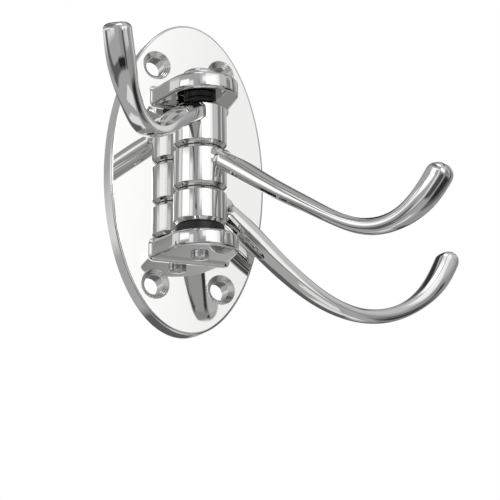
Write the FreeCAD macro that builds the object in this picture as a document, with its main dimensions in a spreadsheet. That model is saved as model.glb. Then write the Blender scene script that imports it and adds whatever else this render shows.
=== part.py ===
import FreeCAD, Part
import math
import os
import Sketcher

# Folding wall hook: an oval wall plate with two cast lugs, a riveted pin through them,
# three hook arms that swing on the pin, and a black spacer above and below the arms.
# Lengths are millimetres. The wall is the XZ plane, and the hook reaches out towards -Y.

doc = FreeCAD.newDocument("folding_wall_hook")
sheet = doc.addObject("Spreadsheet::Sheet", "sizes")
row_count = 0


def size(name, value, note):
    """Puts one named size, or one formula, on the next row of the sheet."""
    global row_count
    row_count += 1
    sheet.set("A%d" % row_count, name.replace("_", " "))
    sheet.set("B%d" % row_count, str(value))
    sheet.set("C%d" % row_count, note)
    sheet.setAlias("B%d" % row_count, name)


# Oval wall plate
PLATE_HALF_HIGH = 52.0
PLATE_HALF_WIDE = 26.7
PLATE_THICK = 6.5
PLATE_EDGE_ROUND = 0.8
size("plate_half_high", PLATE_HALF_HIGH, "half the oval's height")
size("plate_half_wide", PLATE_HALF_WIDE, "half the oval's width")
size("plate_thick", PLATE_THICK, "wall side to front face")
size("plate_edge_round", PLATE_EDGE_ROUND, "front rim rounding")

# Four countersunk screw holes
HOLE_ACROSS = 11.3
HOLE_UP = 36.5
HOLE_RADIUS = 3.1
SINK_DEPTH = 1.6
size("hole_across", HOLE_ACROSS, "hole centre to the plate's upright centre line")
size("hole_up", HOLE_UP, "hole centre to the plate's level centre line")
size("hole_radius", HOLE_RADIUS, "through bore")
size("sink_depth", SINK_DEPTH, "depth of the 90 degree countersink, also its growth in radius")

# Two lugs cast on the plate
LUG_INNER = 22.8
LUG_THICK = 5.4
LUG_ROOT_HALF = 13.2
LUG_NOSE_RADIUS = 11.2
LUG_NOSE_OUT = 18.3
LUG_BURY = 3.0
LUG_EDGE_ROUND = 1.0
LUG_ROOT_ROUND = 1.2
size("lug_inner", LUG_INNER, "level centre line to a lug's inner face")
size("lug_thick", LUG_THICK, "lug thickness")
size("lug_root_half", LUG_ROOT_HALF, "half the lug's width at the plate")
size("lug_nose_radius", LUG_NOSE_RADIUS, "radius of the rounded nose")
size("lug_nose_out", LUG_NOSE_OUT, "wall to the nose arc's centre")
size("lug_bury", LUG_BURY, "depth of the lug's root inside the plate")
size("lug_edge_round", LUG_EDGE_ROUND, "rounding of the lug's edges")
size("lug_root_round", LUG_ROOT_ROUND, "fillet between lug and plate")

# Pivot pin
PIN_OUT = 15.8
PIN_RADIUS = 2.5
PIN_SEAT = 0.02
PIN_PLAY = 0.05
HEAD_RADIUS = 5.8
HEAD_HIGH = 3.5
HEAD_ROUND = 1.0
RIVET_RADIUS = 2.9
RIVET_HIGH = 1.5
RIVET_ROUND = 0.6
SEAT_GAP = 0.05
size("pin_out", PIN_OUT, "wall to the pin's centre line")
size("pin_radius", PIN_RADIUS, "shank")
size("pin_seat", PIN_SEAT, "radial room in the lugs")
size("pin_play", PIN_PLAY, "radial running room in the arms and spacers")
size("head_radius", HEAD_RADIUS, "button head")
size("head_high", HEAD_HIGH, "button head height above the upper lug")
size("head_round", HEAD_ROUND, "rounding of the head's rim")
size("rivet_radius", RIVET_RADIUS, "spread rivet end")
size("rivet_high", RIVET_HIGH, "rivet end below the lower lug")
size("rivet_round", RIVET_ROUND, "rounding of the rivet end")
size("seat_gap", SEAT_GAP, "air between stacked faces that only rest on each other")

# Stack of three barrels with a spacer at each end
STACK_LOW = -18.9
JOINT_LOW = -7.5
JOINT_HIGH = 6.3
STACK_HIGH = 20.6
JOINT_GAP = 0.25
BARREL_RADIUS = 8.55
BARREL_EDGE = 1.2
UPPER_SPACER_RADIUS = 5.2
LOWER_SPACER_RADIUS = 7.8
SPACER_AIR = 0.15
SPACER_EDGE = 0.3
size("stack_low", STACK_LOW, "underside of the lowest barrel")
size("joint_low", JOINT_LOW, "middle of the joint between the lower two barrels")
size("joint_high", JOINT_HIGH, "middle of the joint between the upper two barrels")
size("stack_high", STACK_HIGH, "top of the highest barrel")
size("joint_gap", JOINT_GAP, "air between two barrels")
size("barrel_radius", BARREL_RADIUS, "outside of a barrel")
size("barrel_edge", BARREL_EDGE, "bevel at both ends of a barrel")
size("upper_spacer_radius", UPPER_SPACER_RADIUS, "narrow black spacer above the arms")
size("lower_spacer_radius", LOWER_SPACER_RADIUS, "wide black spacer below the arms")
size("spacer_air", SPACER_AIR, "air between a spacer and the turning barrel")
size("spacer_edge", SPACER_EDGE, "bevel of the spacers' rims")

# Cast rod of an arm, the same on all three: in-plane thickness and width at each station
ROD_THICK = [5.2, 6.2, 5.8, 5.3, 4.7, 4.4, 4.8, 5.4, 6.9]
ROD_WIDE = [7.3, 7.7, 8.0, 8.0, 7.6, 6.6, 5.8, 6.1, 7.7]
STATIONS = len(ROD_THICK)
for station in range(STATIONS):
    size("thick_%d" % (station + 1), ROD_THICK[station], "rod thickness at station %d" % (station + 1))
    size("wide_%d" % (station + 1), ROD_WIDE[station], "rod width at station %d" % (station + 1))
ROD_CORNER = 1.3
ROD_BOW = 9.0
ROOT_BLEND = 1.0
size("rod_corner", ROD_CORNER, "corner radius of the rod's section")
size("rod_bow", ROD_BOW, "radius of the slight bow on all four faces of the rod")
size("root_blend", ROOT_BLEND, "fillet where the rod leaves the barrel")

# Rounded tip of the rod: the same for all three arms
TIP_BACK = [3.4, 1.7, 0.7, 0.15]
TIP_CORNER = [1.3, 1.3, 1.2, 0.7]
TIP_STEPS = len(TIP_BACK)
TIP_HALF_THICK = 3.65
TIP_HALF_WIDE = 3.8
TIP_SIDE_ROUND = 2.4
size("tip_half_thick", TIP_HALF_THICK, "half the tip's thickness, also its radius seen from the side")
size("tip_half_wide", TIP_HALF_WIDE, "half width of the rod at the tip")
size("tip_side_round", TIP_SIDE_ROUND, "rounding of the tip seen from the front")
for step in range(TIP_STEPS):
    number = step + 1
    size("tip_back_%d" % number, TIP_BACK[step], "distance of this tip section behind the tip")
    size("tip_corner_%d" % number, TIP_CORNER[step], "corner radius of this tip section")
    size("tip_thick_%d" % number,
         "=2 * sqrt(tip_half_thick ^ 2 - (tip_half_thick - tip_back_%d) ^ 2)" % number, "follows")
    size("tip_inset_%d" % number,
         "=max(tip_side_round - tip_back_%d; 0)" % number, "follows")
    size("tip_wide_%d" % number,
         "=2 * (tip_half_wide - tip_side_round + sqrt(tip_side_round ^ 2 - tip_inset_%d ^ 2))" % number,
         "follows")

# Centre line of each arm: it starts inside the barrel and runs to the point of the tip in equal
# steps, each at the mean of the tilts, in degrees, that the line has at its two ends.
ROOT_REACH = 6.0
TOP_LENGTH = 93.8
TOP_ROOT_HIGH = 3.8
MIDDLE_LENGTH = 96.1
MIDDLE_ROOT_HIGH = 3.8
LOWER_LENGTH = 109.8
LOWER_ROOT_HIGH = 2.4
size("root_reach", ROOT_REACH, "start of every arm's centre line, measured from the pin")
ARMS = {
    "top_hook": {
        "floor": "joint_high + joint_gap / 2",
        "ceiling": "stack_high",
        "swing": -38.3,
        "length": TOP_LENGTH,
        "root_high": TOP_ROOT_HIGH,
        "tilt": [-22, -24, -26, -28, -26, -13, 9, 35, 57, 71],
    },
    "middle_hook": {
        "floor": "joint_low + joint_gap / 2",
        "ceiling": "joint_high - joint_gap / 2",
        "swing": 30.0,
        "length": MIDDLE_LENGTH,
        "root_high": MIDDLE_ROOT_HIGH,
        "tilt": [-30, -34, -34, -31, -31, -30, -12, 18, 43, 59],
    },
    "lower_hook": {
        "floor": "stack_low",
        "ceiling": "joint_low - joint_gap / 2",
        "swing": 94.0,
        "length": LOWER_LENGTH,
        "root_high": LOWER_ROOT_HIGH,
        "tilt": [-31, -41, -38, -34, -23, -6, 15, 34, 53, 67],
    },
}
for arm_name, arm in ARMS.items():
    short = arm_name.split("_")[0]
    size(short + "_floor", "=" + arm["floor"], "underside of this arm's barrel")
    size(short + "_ceiling", "=" + arm["ceiling"], "top of this arm's barrel")
    size(short + "_half", "=(%s_ceiling - %s_floor) / 2" % (short, short), "half the barrel's height")
    size(short + "_middle", "=(%s_ceiling + %s_floor) / 2" % (short, short), "the barrel's middle")
    size(short + "_swing", arm["swing"], "degrees from straight out of the wall, towards +X")
    size(short + "_length", arm["length"], "length of the centre line, from its start to the tip")
    size(short + "_root_high", arm["root_high"], "start of the centre line above the barrel's middle")
    size(short + "_step", "=%s_length / %d" % (short, STATIONS), "centre line between two stations")
    size(short + "_tilt_1", arm["tilt"][0], "tilt of the centre line at its start")
    size(short + "_reach_1", "=root_reach", "reach of the start from the pin")
    size(short + "_height_1", "=%s_root_high" % short, "height of the start above the barrel's middle")
    for station in range(1, STATIONS + 1):
        here = station + 1
        size("%s_tilt_%d" % (short, here), arm["tilt"][station], "tilt of the centre line")
        mean = "(%s_tilt_%d + %s_tilt_%d) / 2 * 1 deg" % (short, station, short, here)
        size("%s_reach_%d" % (short, here),
             "=%s_reach_%d + %s_step * cos(%s)" % (short, station, short, mean), "reach from the pin")
        size("%s_height_%d" % (short, here),
             "=%s_height_%d + %s_step * sin(%s)" % (short, station, short, mean), "height from the middle")
doc.recompute()


def value(name):
    """Reads one size back from the sheet."""
    return float(sheet.get(name))


def new_body(name):
    """Makes an empty named body."""
    body = doc.addObject("PartDesign::Body", name)
    body.Label = name
    return body


def plane(body, role):
    """Finds one of the body's own origin planes."""
    for feature in body.Origin.OriginFeatures:
        if feature.Role == role:
            return feature
    raise RuntimeError("no plane " + role)


def new_sketch(body, name, role):
    """Adds an empty sketch on one of the body's origin planes."""
    sketch = body.newObject("Sketcher::SketchObject", name)
    sketch.AttachmentSupport = [(plane(body, role), "")]
    sketch.MapMode = "FlatFace"
    return sketch


def rule(sketch, kind, *args, name=None, expression=None):
    """Adds one constraint, and ties it to the sheet where an expression is given."""
    index = sketch.addConstraint(Sketcher.Constraint(kind, *args))
    if name:
        sketch.renameConstraint(index, name)
    if expression:
        sketch.setExpression("Constraints." + name, expression)
    return index


def point(x, y):
    """A sketch point."""
    return FreeCAD.Vector(x, y, 0)


def circle(sketch, x_name, x_sign, y_name, y_sign, radius_name, tag):
    """Draws one circle whose centre and radius follow the sheet."""
    x = x_sign * value(x_name) if x_name else 0.0
    y = y_sign * value(y_name) if y_name else 0.0
    normal = FreeCAD.Vector(0, 0, 1)
    index = sketch.addGeometry(Part.Circle(point(x, y), normal, value(radius_name)), False)
    if x_name:
        ends = (-1, 1, index, 3) if x_sign > 0 else (index, 3, -1, 1)
        rule(sketch, "DistanceX", *ends, abs(x), name=tag + "_x", expression="sizes." + x_name)
    else:
        rule(sketch, "PointOnObject", index, 3, -2)
    if y_name:
        ends = (-1, 1, index, 3) if y_sign > 0 else (index, 3, -1, 1)
        rule(sketch, "DistanceY", *ends, abs(y), name=tag + "_y", expression="sizes." + y_name)
    else:
        rule(sketch, "PointOnObject", index, 3, -1)
    rule(sketch, "Radius", index, value(radius_name), name=tag + "_r", expression="sizes." + radius_name)
    return index


def outline(sketch, points, places):
    """Draws a closed outline of straight lines; places lists each corner's two sheet formulas.

    A formula may be None where the corner lies on that axis.
    """
    count = len(points)
    for index in range(count):
        start = points[index]
        end = points[(index + 1) % count]
        sketch.addGeometry(Part.LineSegment(point(*start), point(*end)), False)
    for index in range(count):
        rule(sketch, "Coincident", index, 2, (index + 1) % count, 1)
    for index in range(count):
        x, y = points[index]
        x_formula, y_formula = places[index]
        if x_formula is None:
            rule(sketch, "PointOnObject", index, 1, -2)
        else:
            ends = (-1, 1, index, 1) if x > 0 else (index, 1, -1, 1)
            rule(sketch, "DistanceX", *ends, abs(x), name="x%d" % index, expression=x_formula)
        if y_formula is None:
            rule(sketch, "PointOnObject", index, 1, -1)
        else:
            ends = (-1, 1, index, 1) if y > 0 else (index, 1, -1, 1)
            rule(sketch, "DistanceY", *ends, abs(y), name="y%d" % index, expression=y_formula)


def edge_names(shape, test):
    """Names the edges of a shape that pass a test."""
    return ["Edge%d" % (index + 1) for index, edge in enumerate(shape.Edges) if test(edge)]


def finish_step(body, kind, name, base, edges, size_property, size_name):
    """Adds a fillet or a chamfer on named edges of the last feature."""
    feature = body.newObject("PartDesign::" + kind, name)
    feature.Base = (base, edges)
    feature.setExpression(size_property, "sizes." + size_name)
    body.Tip = feature
    doc.recompute()
    return feature


# Wall plate: the oval
plate = new_body("wall_plate")
oval = new_sketch(plate, "oval", "XZ_Plane")
half_high = value("plate_half_high")
half_wide = value("plate_half_wide")
ellipse = Part.Ellipse(point(0, half_high), point(half_wide, 0), point(0, 0))
oval.addGeometry(ellipse, False)
oval.exposeInternalGeometry(0)
rule(oval, "Coincident", 0, 3, -1, 1)
rule(oval, "PointOnObject", 1, 1, -2)
rule(oval, "Distance", 1, 1, 1, 2, 2 * half_high, name="high", expression="2 * sizes.plate_half_high")
rule(oval, "Distance", 2, 1, 2, 2, 2 * half_wide, name="wide", expression="2 * sizes.plate_half_wide")
slab = plate.newObject("PartDesign::Pad", "slab")
slab.Profile = oval
slab.setExpression("Length", "sizes.plate_thick")
doc.recompute()

# Wall plate: the upper lug, drawn from above
lug_plan = new_sketch(plate, "lug_plan", "XY_Plane")
lug_plan.setExpression("AttachmentOffset.Base.z", "sizes.lug_inner")
root_half = value("lug_root_half")
front = value("plate_thick")
buried = front - value("lug_bury")
nose_radius = value("lug_nose_radius")
nose_out = value("lug_nose_out")
gap = math.hypot(root_half, nose_out - front)
lean = math.atan2(nose_out - front, root_half)
turn = math.acos(nose_radius / gap) - lean
touch = (nose_radius * math.cos(turn), nose_out + nose_radius * math.sin(turn))
lug_plan.addGeometry([
    Part.LineSegment(point(-root_half, -buried), point(root_half, -buried)),
    Part.LineSegment(point(root_half, -buried), point(root_half, -front)),
    Part.LineSegment(point(root_half, -front), point(touch[0], -touch[1])),
    Part.ArcOfCircle(Part.Circle(point(0, -nose_out), FreeCAD.Vector(0, 0, 1), nose_radius),
                     math.pi + turn, 2 * math.pi - turn),
    Part.LineSegment(point(-touch[0], -touch[1]), point(-root_half, -front)),
    Part.LineSegment(point(-root_half, -front), point(-root_half, -buried)),
], False)
rule(lug_plan, "Coincident", 0, 2, 1, 1)
rule(lug_plan, "Coincident", 1, 2, 2, 1)
rule(lug_plan, "Tangent", 2, 2, 3, 2)
rule(lug_plan, "Tangent", 3, 1, 4, 1)
rule(lug_plan, "Coincident", 4, 2, 5, 1)
rule(lug_plan, "Coincident", 5, 2, 0, 1)
rule(lug_plan, "Vertical", 1)
rule(lug_plan, "Symmetric", 0, 1, 0, 2, -2)
rule(lug_plan, "Symmetric", 1, 2, 4, 2, -2)
rule(lug_plan, "PointOnObject", 3, 3, -2)
rule(lug_plan, "DistanceX", 0, 1, 0, 2, 2 * root_half, name="root_wide", expression="2 * sizes.lug_root_half")
rule(lug_plan, "DistanceY", 0, 2, -1, 1, buried, name="root_start",
     expression="sizes.plate_thick - sizes.lug_bury")
rule(lug_plan, "DistanceY", 1, 2, -1, 1, front, name="root_end", expression="sizes.plate_thick")
rule(lug_plan, "DistanceY", 3, 3, -1, 1, nose_out, name="nose_out", expression="sizes.lug_nose_out")
rule(lug_plan, "Radius", 3, nose_radius, name="nose_radius", expression="sizes.lug_nose_radius")
upper_lug = plate.newObject("PartDesign::Pad", "upper_lug")
upper_lug.Profile = lug_plan
upper_lug.setExpression("Length", "sizes.lug_thick")
doc.recompute()

# Wall plate: the lower lug is the upper one mirrored in the level centre plane
lower_lug = plate.newObject("PartDesign::Mirrored", "lower_lug")
lower_lug.Originals = [upper_lug]
lower_lug.MirrorPlane = (plane(plate, "XY_Plane"), [""])
plate.Tip = lower_lug
doc.recompute()

# Wall plate: rounded lug edges, then the fillets at the lug roots, then the plate's rim
inner = value("lug_inner")
outer = inner + value("lug_thick")


def on_lug_rim(edge):
    """True for the level outline edges of a lug in front of the plate."""
    box = edge.BoundBox
    level = box.ZLength < 0.01
    at_face = min(abs(abs(box.ZMin) - inner), abs(abs(box.ZMin) - outer)) < 0.01
    return level and at_face and box.YMin < -front - 0.5


def on_lug_root(edge):
    """True for the edges where a lug meets the plate's front face."""
    box = edge.BoundBox
    flat = box.YLength < 0.01 and abs(box.YMin + front) < 0.01
    return flat and box.ZMax < half_high - 5 and box.ZMin > 5 - half_high


lug_rims = finish_step(plate, "Fillet", "lug_rims", lower_lug,
                       edge_names(lower_lug.Shape, on_lug_rim), "Radius", "lug_edge_round")
lug_roots = finish_step(plate, "Fillet", "lug_roots", lug_rims,
                        edge_names(lug_rims.Shape, on_lug_root), "Radius", "lug_root_round")


def on_front_rim(edge):
    """True for the oval's front edge."""
    box = edge.BoundBox
    flat = box.YLength < 0.01 and abs(box.YMin + front) < 0.01
    return flat and box.ZLength > half_high


plate_rim = finish_step(plate, "Fillet", "plate_rim", lug_roots,
                        edge_names(lug_roots.Shape, on_front_rim), "Radius", "plate_edge_round")

# Wall plate: screw holes and their countersinks
screw_plan = new_sketch(plate, "screw_plan", "XZ_Plane")
for x_sign in (-1, 1):
    for y_sign in (-1, 1):
        tag = ("left" if x_sign < 0 else "right") + ("low" if y_sign < 0 else "high")
        circle(screw_plan, "hole_across", x_sign, "hole_up", y_sign, "hole_radius", tag)
screw_holes = plate.newObject("PartDesign::Pocket", "screw_holes")
screw_holes.Profile = screw_plan
screw_holes.Type = "ThroughAll"
screw_holes.Midplane = True
plate.Tip = screw_holes
doc.recompute()
hole_radius = value("hole_radius")


def on_hole_rim(edge):
    """True for a screw hole's front edge."""
    box = edge.BoundBox
    flat = box.YLength < 0.01 and abs(box.YMin + front) < 0.01
    return flat and abs(box.ZLength - 2 * hole_radius) < 0.05


countersinks = finish_step(plate, "Chamfer", "countersinks", screw_holes,
                           edge_names(screw_holes.Shape, on_hole_rim), "Size", "sink_depth")

# Wall plate: the pin's hole through both lugs
size("lug_bore", "=pin_radius + pin_seat", "pin hole in the lugs")
size("barrel_bore", "=pin_radius + pin_play", "pin hole in the arms and spacers")
doc.recompute()
pin_plan = new_sketch(plate, "pin_plan", "XY_Plane")
circle(pin_plan, None, 0, "pin_out", -1, "lug_bore", "pin")
pin_holes = plate.newObject("PartDesign::Pocket", "pin_holes")
pin_holes.Profile = pin_plan
pin_holes.Type = "ThroughAll"
pin_holes.Midplane = True
plate.Tip = pin_holes
doc.recompute()


def stand_on_pin(body, height, swing=None):
    """Places a body that is modelled about its own Z axis on the pin's centre line."""
    body.Placement = FreeCAD.Placement(FreeCAD.Vector(0, 0, 0), FreeCAD.Rotation(0, 0, 0))
    body.setExpression("Placement.Base.y", "-sizes.pin_out")
    body.setExpression("Placement.Base.z", height)
    if swing:
        body.Placement.Rotation = FreeCAD.Rotation(FreeCAD.Vector(0, 0, 1), value(swing) - 90)
        body.setExpression("Placement.Rotation.Angle", "sizes.%s - 90" % swing)


def turned(body, name, sketch):
    """Turns a closed outline about the body's upright axis."""
    feature = body.newObject("PartDesign::Revolution", name)
    feature.Profile = sketch
    feature.ReferenceAxis = (sketch, ["V_Axis"])
    feature.Angle = 360
    body.Tip = feature
    doc.recompute()
    return feature


# Pivot pin: button head, shank and rivet end turned in one piece
pin = new_body("pivot_pin")
pin_profile = new_sketch(pin, "pin_profile", "XZ_Plane")
pin_r = value("pin_radius")
head_r = value("head_radius")
head_top = outer + value("head_high")
rivet_r = value("rivet_radius")
rivet_end = outer + value("rivet_high")
seat = value("seat_gap")
LUG_TOP = "sizes.lug_inner + sizes.lug_thick"
outline(pin_profile,
        [(0, -rivet_end), (rivet_r, -rivet_end), (rivet_r, -outer - seat), (pin_r, -outer - seat),
         (pin_r, outer + seat), (head_r, outer + seat), (head_r, head_top), (0, head_top)],
        [(None, LUG_TOP + " + sizes.rivet_high"),
         ("sizes.rivet_radius", LUG_TOP + " + sizes.rivet_high"),
         ("sizes.rivet_radius", LUG_TOP + " + sizes.seat_gap"),
         ("sizes.pin_radius", LUG_TOP + " + sizes.seat_gap"),
         ("sizes.pin_radius", LUG_TOP + " + sizes.seat_gap"),
         ("sizes.head_radius", LUG_TOP + " + sizes.seat_gap"),
         ("sizes.head_radius", LUG_TOP + " + sizes.head_high"),
         (None, LUG_TOP + " + sizes.head_high")])
pin_turned = turned(pin, "pin_turned", pin_profile)


def round_at(level, radius):
    """Makes a test for the circular edge of one radius at one height."""
    def test(edge):
        box = edge.BoundBox
        level_edge = box.ZLength < 0.01 and abs(box.ZMin - level) < 0.01
        return level_edge and abs(box.XLength - 2 * radius) < 0.02
    return test


head_rim = finish_step(pin, "Fillet", "head_rim", pin_turned,
                       edge_names(pin_turned.Shape, round_at(head_top, head_r)), "Radius", "head_round")
rivet_rim = finish_step(pin, "Fillet", "rivet_rim", head_rim,
                        edge_names(head_rim.Shape, round_at(-rivet_end, rivet_r)), "Radius", "rivet_round")
stand_on_pin(pin, "0")

# Spacers: two bevelled black rings that fill the stack between the arms and the lugs
size("upper_spacer_low", "=stack_high + spacer_air", "underside of the upper spacer")
size("upper_spacer_high", "=lug_inner - seat_gap - upper_spacer_low", "height of the upper spacer")
size("lower_spacer_low", "=seat_gap - lug_inner", "underside of the lower spacer")
size("lower_spacer_high", "=stack_low - spacer_air - lower_spacer_low", "height of the lower spacer")
doc.recompute()


def spacer(name, radius_name, low_name, high_name):
    """Models one ring around the pin, with both rims bevelled."""
    body = new_body(name)
    plan = new_sketch(body, name + "_plan", "XY_Plane")
    circle(plan, None, 0, None, 0, radius_name, "rim")
    circle(plan, None, 0, None, 0, "barrel_bore", "bore")
    ring = body.newObject("PartDesign::Pad", name + "_ring")
    ring.Profile = plan
    ring.setExpression("Length", "sizes." + high_name)
    doc.recompute()
    radius = value(radius_name)
    rims = edge_names(ring.Shape, lambda edge: abs(edge.BoundBox.XLength - 2 * radius) < 0.02
                      and edge.BoundBox.ZLength < 0.01)
    finish_step(body, "Chamfer", name + "_rims", ring, rims, "Size", "spacer_edge")
    stand_on_pin(body, "sizes." + low_name)
    return body


upper_spacer = spacer("upper_spacer", "upper_spacer_radius", "upper_spacer_low", "upper_spacer_high")
lower_spacer = spacer("lower_spacer", "lower_spacer_radius", "lower_spacer_low", "lower_spacer_high")


def corner_centre(half_wide_here, half_thick_here, bow, corner):
    """Finds the centre of a corner arc that touches both bowed faces of the section."""
    x = half_wide_here - corner
    y = half_thick_here - corner
    for _ in range(30):
        side = (x - half_wide_here + bow, y)
        face = (x, y - half_thick_here + bow)
        side_gap = math.hypot(*side) - (bow - corner)
        face_gap = math.hypot(*face) - (bow - corner)
        x -= side_gap
        y -= face_gap
    return x, y


def rod_section(body, name, place, thick, wide, corner, numbers):
    """Draws one section of the rod square to its centre line.

    The section has four slightly bowed faces and four corner arcs, eight arcs in all, counted
    anticlockwise from the right-hand face. Its place is a reach, a height and a tilt, as formulas.
    """
    sketch = new_sketch(body, name, "YZ_Plane")
    reach, height, tilt = place
    sketch.AttachmentOffset = FreeCAD.Placement(
        FreeCAD.Vector(0, numbers["height"], numbers["reach"]),
        FreeCAD.Rotation(FreeCAD.Vector(1, 0, 0), -numbers["tilt"]))
    sketch.setExpression("AttachmentOffset.Base.z", reach)
    sketch.setExpression("AttachmentOffset.Base.y", height)
    sketch.setExpression("AttachmentOffset.Rotation.Angle", tilt)
    half_t = numbers["thick"] / 2
    half_w = numbers["wide"] / 2
    bow = value("rod_bow")
    radius = numbers["corner"]
    x, y = corner_centre(half_w, half_t, bow, radius)
    side = math.atan2(y, x - half_w + bow)
    face = math.atan2(y - half_t + bow, x)
    normal = FreeCAD.Vector(0, 0, 1)
    quarter = math.pi / 2
    arcs = [
        (half_w - bow, 0, bow, -side, side),
        (x, y, radius, side, face),
        (0, half_t - bow, bow, face, math.pi - face),
        (-x, y, radius, math.pi - face, math.pi - side),
        (bow - half_w, 0, bow, math.pi - side, math.pi + side),
        (-x, -y, radius, math.pi + side, math.pi + face),
        (0, bow - half_t, bow, math.pi + face, 4 * quarter - face),
        (x, -y, radius, 4 * quarter - face, 4 * quarter - side),
    ]
    for centre_x, centre_y, arc_radius, start, end in arcs:
        ring = Part.Circle(point(centre_x, centre_y), normal, arc_radius)
        sketch.addGeometry(Part.ArcOfCircle(ring, start, end), False)
    for index in range(8):
        rule(sketch, "Tangent", index, 2, (index + 1) % 8, 1)
    for index, axis in ((0, -1), (4, -1), (2, -2), (6, -2)):
        rule(sketch, "PointOnObject", index, 3, axis)
    for first, second in ((1, 3), (1, 5), (1, 7), (0, 4), (2, 6)):
        rule(sketch, "Equal", first, second)
    rule(sketch, "Radius", 0, bow, name="side_bow", expression="sizes.rod_bow")
    rule(sketch, "Radius", 2, bow, name="face_bow", expression="sizes.rod_bow")
    rule(sketch, "Radius", 1, radius, name="corner", expression=corner)
    across = "sizes.rod_bow - %s / 2" % wide
    through = "sizes.rod_bow - %s / 2" % thick
    rule(sketch, "DistanceX", 0, 3, -1, 1, bow - half_w, name="right", expression=across)
    rule(sketch, "DistanceX", -1, 1, 4, 3, bow - half_w, name="left", expression=across)
    rule(sketch, "DistanceY", 2, 3, -1, 1, bow - half_t, name="top", expression=through)
    rule(sketch, "DistanceY", -1, 1, 6, 3, bow - half_t, name="bottom", expression=through)
    return sketch


def arm_sections(body, short):
    """Draws the sections of one arm from its root inside the barrel to its rounded tip."""
    sections = []
    for station in range(STATIONS):
        number = station + 1
        keys = ("reach", "height", "tilt")
        numbers = {key: value("%s_%s_%d" % (short, key, number)) for key in keys}
        numbers["thick"] = value("thick_%d" % number)
        numbers["wide"] = value("wide_%d" % number)
        numbers["corner"] = value("rod_corner")
        place = ("sizes.%s_reach_%d" % (short, number),
                 "sizes.%s_height_%d" % (short, number),
                 "-sizes.%s_tilt_%d" % (short, number))
        sections.append(rod_section(body, "%s_section_%d" % (short, number), place,
                                    "sizes.thick_%d" % number, "sizes.wide_%d" % number,
                                    "sizes.rod_corner", numbers))
    tip = STATIONS + 1
    tilt = value("%s_tilt_%d" % (short, tip))
    for step in range(TIP_STEPS):
        number = step + 1
        back = value("tip_back_%d" % number)
        numbers = {
            "reach": value("%s_reach_%d" % (short, tip)) - back * math.cos(math.radians(tilt)),
            "height": value("%s_height_%d" % (short, tip)) - back * math.sin(math.radians(tilt)),
            "tilt": tilt,
            "thick": value("tip_thick_%d" % number),
            "wide": value("tip_wide_%d" % number),
            "corner": value("tip_corner_%d" % number),
        }
        angle = "sizes.%s_tilt_%d * 1 deg" % (short, tip)
        place = ("sizes.%s_reach_%d - sizes.tip_back_%d * cos(%s)" % (short, tip, number, angle),
                 "sizes.%s_height_%d - sizes.tip_back_%d * sin(%s)" % (short, tip, number, angle),
                 "-sizes.%s_tilt_%d" % (short, tip))
        sections.append(rod_section(body, "%s_tip_%d" % (short, number), place,
                                    "sizes.tip_thick_%d" % number, "sizes.tip_wide_%d" % number,
                                    "sizes.tip_corner_%d" % number, numbers))
    return sections


def hook_arm(name):
    """Models one arm: a bevelled barrel with a rod lofted out of it, blended and bored."""
    short = name.split("_")[0]
    body = new_body(name)
    half = value(short + "_half")
    radius = value("barrel_radius")
    bevel = value("barrel_edge")
    half_name = "sizes.%s_half" % short
    profile = new_sketch(body, short + "_barrel_profile", "XZ_Plane")
    outline(profile,
            [(0, -half), (radius - bevel, -half), (radius, bevel - half),
             (radius, half - bevel), (radius - bevel, half), (0, half)],
            [(None, half_name),
             ("sizes.barrel_radius - sizes.barrel_edge", half_name),
             ("sizes.barrel_radius", half_name + " - sizes.barrel_edge"),
             ("sizes.barrel_radius", half_name + " - sizes.barrel_edge"),
             ("sizes.barrel_radius - sizes.barrel_edge", half_name),
             (None, half_name)])
    barrel = turned(body, short + "_barrel", profile)
    sections = arm_sections(body, short)
    doc.recompute()
    rod = body.newObject("PartDesign::AdditiveLoft", short + "_rod")
    rod.Profile = sections[0]
    rod.Sections = sections[1:]
    rod.Ruled = False
    rod.Closed = False
    body.Tip = rod
    doc.recompute()

    def on_root(edge):
        """True for the edges where the rod leaves the barrel's round side or its bevels."""
        from_axis = [math.hypot(vertex.x, vertex.y) for vertex in edge.discretize(7)]
        on_side = min(from_axis) > radius - bevel - 0.02 and max(from_axis) < radius + 0.02
        return on_side and edge.BoundBox.YMin > 0 and edge.BoundBox.ZLength > 0.01

    finish_step(body, "Fillet", short + "_root", rod,
                edge_names(rod.Shape, on_root), "Radius", "root_blend")
    bore_plan = new_sketch(body, short + "_bore_plan", "XY_Plane")
    circle(bore_plan, None, 0, None, 0, "barrel_bore", "bore")
    bore = body.newObject("PartDesign::Pocket", short + "_bore")
    bore.Profile = bore_plan
    bore.Type = "ThroughAll"
    bore.Midplane = True
    body.Tip = bore
    doc.recompute()
    stand_on_pin(body, "sizes.%s_middle" % short, short + "_swing")
    return body


arms = [hook_arm(name) for name in ARMS]
doc.recompute()

# Check every object, then write one STEP file for each piece
pieces = [plate, pin, upper_spacer, lower_spacer] + arms
for item in doc.Objects:
    if "Invalid" in item.State or "Error" in item.State:
        raise RuntimeError("%s is in error" % item.Name)
os.makedirs("parts", exist_ok=True)
for piece in pieces:
    shape = piece.Shape
    if shape.isNull() or not shape.isValid():
        raise RuntimeError("%s has no valid shape" % piece.Label)
    if len(shape.Solids) != 1:
        raise RuntimeError("%s is not one solid" % piece.Label)
    shape.exportStep("parts/%s.step" % piece.Label)
    print(piece.Label, round(shape.Volume, 1), len(shape.Faces), shape.BoundBox)
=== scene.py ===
"""Folding wall hook in polished chrome: looks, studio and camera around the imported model.

An oval wall plate carries two cast lugs. A riveted pin through the lugs holds a stack of three
barrels, each with a tapering hook arm, between two black spacers. The scene is in metres. The
classes of the plate, the pin, the spacers and the arms hold millimetres, which MM turns into
metres where a mesh or a pattern is made.
"""

import logging
import math
from dataclasses import dataclass, field
from enum import Enum
from typing import Sequence

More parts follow.
